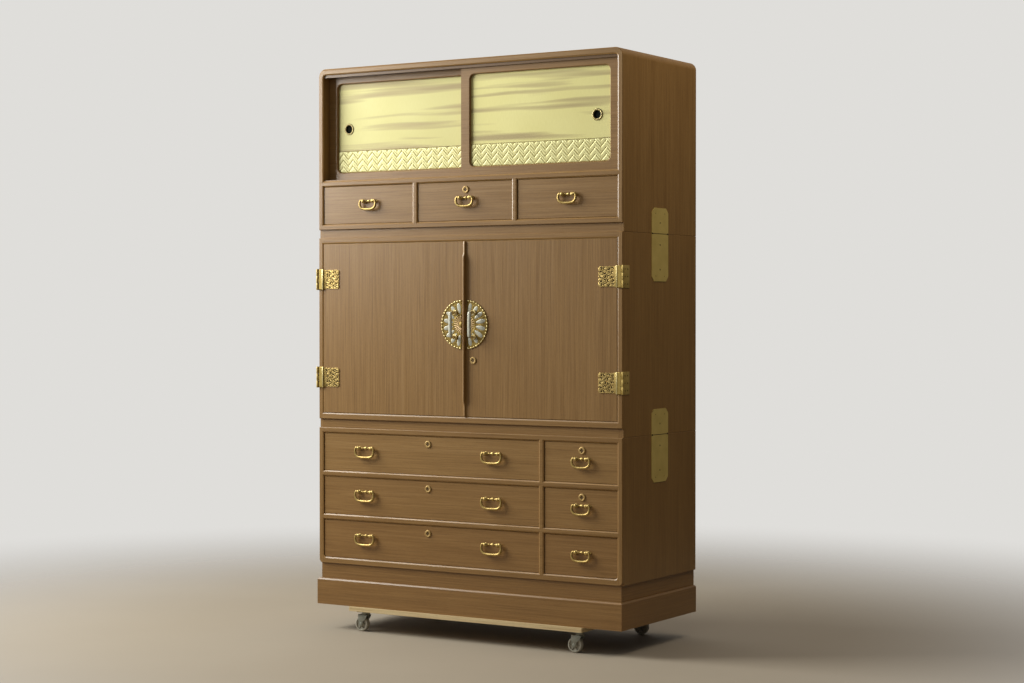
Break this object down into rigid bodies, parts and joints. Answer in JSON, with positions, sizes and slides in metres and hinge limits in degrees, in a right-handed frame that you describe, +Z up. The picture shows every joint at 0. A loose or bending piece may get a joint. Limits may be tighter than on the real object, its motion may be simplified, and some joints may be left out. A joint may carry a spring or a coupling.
{
  "type": "isho clothing chest",
  "caption": "Tall stacked wooden clothing chest with sliding doors over drawers, hinged doors, wide drawers, a plinth and a castered base board.",
  "frame": {"origin": "on the floor, under the middle of the whole footprint, door handles included", "axes": "+Z up, +X to the chest's right as seen from its front, +Y towards its back; the front faces -Y"},
  "size_m": [1.074, 0.4796, 1.7075],
  "materials": {
    "case_wood": "tinted and waxed paulownia, fine straight grain, satin",
    "inner_wood": "plain planed paulownia",
    "base_wood": "plain softwood board",
    "brass": "gilt brass, satin",
    "dull_brass": "plain brass sheet, brushed",
    "gold_paper": "gold-leaf paper with soft mist bands, woven relief below",
    "dark_metal": "dark lacquered cup",
    "silver": "silvered, satin",
    "caster_metal": "zinc plated",
    "caster_tread": "grey moulded wheel"
  },
  "bodies": {
    "chest": {"top_case": "case_wood", "middle_case": "case_wood", "lower_case": "case_wood", "plinth": "case_wood", "kimono_trays": "inner_wood", "case_hinge_leaves": "brass", "seam_plates": "dull_brass", "caster_board": "base_wood", "caster_plates": "caster_metal"},
    "left_sliding_door": {"left_sliding_frame": "case_wood", "left_sliding_panel": "gold_paper", "left_sliding_pull": "dark_metal"},
    "right_sliding_door": {"right_sliding_frame": "case_wood", "right_sliding_panel": "gold_paper", "right_sliding_pull": "dark_metal"},
    "left_hinged_door": {"left_door": "case_wood", "left_door_hinges": "brass", "left_door_pull": "brass"},
    "right_hinged_door": {"right_door": "case_wood", "right_door_hinges": "brass", "right_door_pull": "brass", "meeting_rib": "case_wood"},
    "top_left_drawer_box": {"top_left_drawer": "case_wood", "top_left_handle_posts": "brass"},
    "top_left_bail_body": {"top_left_bail": "brass"},
    "top_centre_drawer_box": {"top_centre_drawer": "case_wood", "top_centre_handle_posts": "brass"},
    "top_centre_bail_body": {"top_centre_bail": "brass"},
    "top_right_drawer_box": {"top_right_drawer": "case_wood", "top_right_handle_posts": "brass"},
    "top_right_bail_body": {"top_right_bail": "brass"},
    "wide_1_drawer_box": {"wide_1_drawer": "case_wood", "wide_1_handle_posts": "brass"},
    "wide_1_bail_left_body": {"wide_1_bail_left": "brass"},
    "wide_1_bail_right_body": {"wide_1_bail_right": "brass"},
    "side_1_drawer_box": {"side_1_drawer": "case_wood", "side_1_handle_posts": "brass"},
    "side_1_bail_body": {"side_1_bail": "brass"},
    "wide_2_drawer_box": {"wide_2_drawer": "case_wood", "wide_2_handle_posts": "brass"},
    "wide_2_bail_left_body": {"wide_2_bail_left": "brass"},
    "wide_2_bail_right_body": {"wide_2_bail_right": "brass"},
    "side_2_drawer_box": {"side_2_drawer": "case_wood", "side_2_handle_posts": "brass"},
    "side_2_bail_body": {"side_2_bail": "brass"},
    "wide_3_drawer_box": {"wide_3_drawer": "case_wood", "wide_3_handle_posts": "brass"},
    "wide_3_bail_left_body": {"wide_3_bail_left": "brass"},
    "wide_3_bail_right_body": {"wide_3_bail_right": "brass"},
    "side_3_drawer_box": {"side_3_drawer": "case_wood", "side_3_handle_posts": "brass"},
    "side_3_bail_body": {"side_3_bail": "brass"},
    "front_left_caster_fork_body": {"front_left_caster_fork": "caster_metal"},
    "front_left_caster_wheel_body": {"front_left_caster_wheel": "caster_tread"},
    "front_right_caster_fork_body": {"front_right_caster_fork": "caster_metal"},
    "front_right_caster_wheel_body": {"front_right_caster_wheel": "caster_tread"},
    "rear_left_caster_fork_body": {"rear_left_caster_fork": "caster_metal"},
    "rear_left_caster_wheel_body": {"rear_left_caster_wheel": "caster_tread"},
    "rear_right_caster_fork_body": {"rear_right_caster_fork": "caster_metal"},
    "rear_right_caster_wheel_body": {"rear_right_caster_wheel": "caster_tread"}
  },
  "joints": [
    {"name": "left_sliding_door_slide", "type": "slide", "parent": "chest", "child": "left_sliding_door", "axis": [1, 0, 0], "range_m": [0, 0.496]},
    {"name": "right_sliding_door_slide", "type": "slide", "parent": "chest", "child": "right_sliding_door", "axis": [1, 0, 0], "range_m": [-0.496, 0]},
    {"name": "left_door_hinge", "type": "hinge", "parent": "chest", "child": "left_hinged_door", "pos_m": [-0.5335, -0.2137, 0.9175], "axis": [0, 0, -1], "range_deg": [0, 180]},
    {"name": "right_door_hinge", "type": "hinge", "parent": "chest", "child": "right_hinged_door", "pos_m": [0.5335, -0.2137, 0.9175], "axis": [0, 0, 1], "range_deg": [0, 180]},
    {"name": "top_left_drawer_slide", "type": "slide", "parent": "chest", "child": "top_left_drawer_box", "axis": [0, -1, 0], "range_m": [0, 0.33]},
    {"name": "top_left_bail_swing", "type": "hinge", "parent": "top_left_drawer_box", "child": "top_left_bail_body", "pos_m": [-0.343, -0.2157, 1.3015], "axis": [-1, 0, 0], "range_deg": [-10, 90]},
    {"name": "top_centre_drawer_slide", "type": "slide", "parent": "chest", "child": "top_centre_drawer_box", "axis": [0, -1, 0], "range_m": [0, 0.33]},
    {"name": "top_centre_bail_swing", "type": "hinge", "parent": "top_centre_drawer_box", "child": "top_centre_bail_body", "pos_m": [0.005, -0.2157, 1.3015], "axis": [-1, 0, 0], "range_deg": [-10, 90]},
    {"name": "top_right_drawer_slide", "type": "slide", "parent": "chest", "child": "top_right_drawer_box", "axis": [0, -1, 0], "range_m": [0, 0.33]},
    {"name": "top_right_bail_swing", "type": "hinge", "parent": "top_right_drawer_box", "child": "top_right_bail_body", "pos_m": [0.353, -0.2157, 1.3015], "axis": [-1, 0, 0], "range_deg": [-10, 90]},
    {"name": "wide_1_drawer_slide", "type": "slide", "parent": "chest", "child": "wide_1_drawer_box", "axis": [0, -1, 0], "range_m": [0, 0.33]},
    {"name": "wide_1_bail_left_swing", "type": "hinge", "parent": "wide_1_drawer_box", "child": "wide_1_bail_left_body", "pos_m": [-0.35575, -0.2157, 0.55575], "axis": [-1, 0, 0], "range_deg": [-10, 90]},
    {"name": "wide_1_bail_right_swing", "type": "hinge", "parent": "wide_1_drawer_box", "child": "wide_1_bail_right_body", "pos_m": [0.09825, -0.2157, 0.55575], "axis": [-1, 0, 0], "range_deg": [-10, 90]},
    {"name": "side_1_drawer_slide", "type": "slide", "parent": "chest", "child": "side_1_drawer_box", "axis": [0, -1, 0], "range_m": [0, 0.33]},
    {"name": "side_1_bail_swing", "type": "hinge", "parent": "side_1_drawer_box", "child": "side_1_bail_body", "pos_m": [0.39825, -0.2157, 0.55125], "axis": [-1, 0, 0], "range_deg": [-10, 90]},
    {"name": "wide_2_drawer_slide", "type": "slide", "parent": "chest", "child": "wide_2_drawer_box", "axis": [0, -1, 0], "range_m": [0, 0.33]},
    {"name": "wide_2_bail_left_swing", "type": "hinge", "parent": "wide_2_drawer_box", "child": "wide_2_bail_left_body", "pos_m": [-0.35575, -0.2157, 0.42325], "axis": [-1, 0, 0], "range_deg": [-10, 90]},
    {"name": "wide_2_bail_right_swing", "type": "hinge", "parent": "wide_2_drawer_box", "child": "wide_2_bail_right_body", "pos_m": [0.09825, -0.2157, 0.42325], "axis": [-1, 0, 0], "range_deg": [-10, 90]},
    {"name": "side_2_drawer_slide", "type": "slide", "parent": "chest", "child": "side_2_drawer_box", "axis": [0, -1, 0], "range_m": [0, 0.33]},
    {"name": "side_2_bail_swing", "type": "hinge", "parent": "side_2_drawer_box", "child": "side_2_bail_body", "pos_m": [0.39825, -0.2157, 0.41875], "axis": [-1, 0, 0], "range_deg": [-10, 90]},
    {"name": "wide_3_drawer_slide", "type": "slide", "parent": "chest", "child": "wide_3_drawer_box", "axis": [0, -1, 0], "range_m": [0, 0.33]},
    {"name": "wide_3_bail_left_swing", "type": "hinge", "parent": "wide_3_drawer_box", "child": "wide_3_bail_left_body", "pos_m": [-0.35575, -0.2157, 0.29075], "axis": [-1, 0, 0], "range_deg": [-10, 90]},
    {"name": "wide_3_bail_right_swing", "type": "hinge", "parent": "wide_3_drawer_box", "child": "wide_3_bail_right_body", "pos_m": [0.09825, -0.2157, 0.29075], "axis": [-1, 0, 0], "range_deg": [-10, 90]},
    {"name": "side_3_drawer_slide", "type": "slide", "parent": "chest", "child": "side_3_drawer_box", "axis": [0, -1, 0], "range_m": [0, 0.33]},
    {"name": "side_3_bail_swing", "type": "hinge", "parent": "side_3_drawer_box", "child": "side_3_bail_body", "pos_m": [0.39825, -0.2157, 0.28625], "axis": [-1, 0, 0], "range_deg": [-10, 90]},
    {"name": "front_left_caster_swivel", "type": "hinge", "parent": "chest", "child": "front_left_caster_fork_body", "pos_m": [-0.362, -0.1982, 0.0512], "axis": [0, 0, 1], "continuous": true},
    {"name": "front_left_wheel_spin", "type": "hinge", "parent": "front_left_caster_fork_body", "child": "front_left_caster_wheel_body", "pos_m": [-0.375, -0.1982, 0.0225], "axis": [0, 1, 0], "continuous": true},
    {"name": "front_right_caster_swivel", "type": "hinge", "parent": "chest", "child": "front_right_caster_fork_body", "pos_m": [0.386, -0.1982, 0.0512], "axis": [0, 0, 1], "continuous": true},
    {"name": "front_right_wheel_spin", "type": "hinge", "parent": "front_right_caster_fork_body", "child": "front_right_caster_wheel_body", "pos_m": [0.373, -0.1982, 0.0225], "axis": [0, 1, 0], "continuous": true},
    {"name": "rear_left_caster_swivel", "type": "hinge", "parent": "chest", "child": "rear_left_caster_fork_body", "pos_m": [-0.362, 0.1938, 0.0512], "axis": [0, 0, 1], "continuous": true},
    {"name": "rear_left_wheel_spin", "type": "hinge", "parent": "rear_left_caster_fork_body", "child": "rear_left_caster_wheel_body", "pos_m": [-0.375, 0.1938, 0.0225], "axis": [0, 1, 0], "continuous": true},
    {"name": "rear_right_caster_swivel", "type": "hinge", "parent": "chest", "child": "rear_right_caster_fork_body", "pos_m": [0.386, 0.1938, 0.0512], "axis": [0, 0, 1], "continuous": true},
    {"name": "rear_right_wheel_spin", "type": "hinge", "parent": "rear_right_caster_fork_body", "child": "rear_right_caster_wheel_body", "pos_m": [0.373, 0.1938, 0.0225], "axis": [0, 1, 0], "continuous": true}
  ]
}
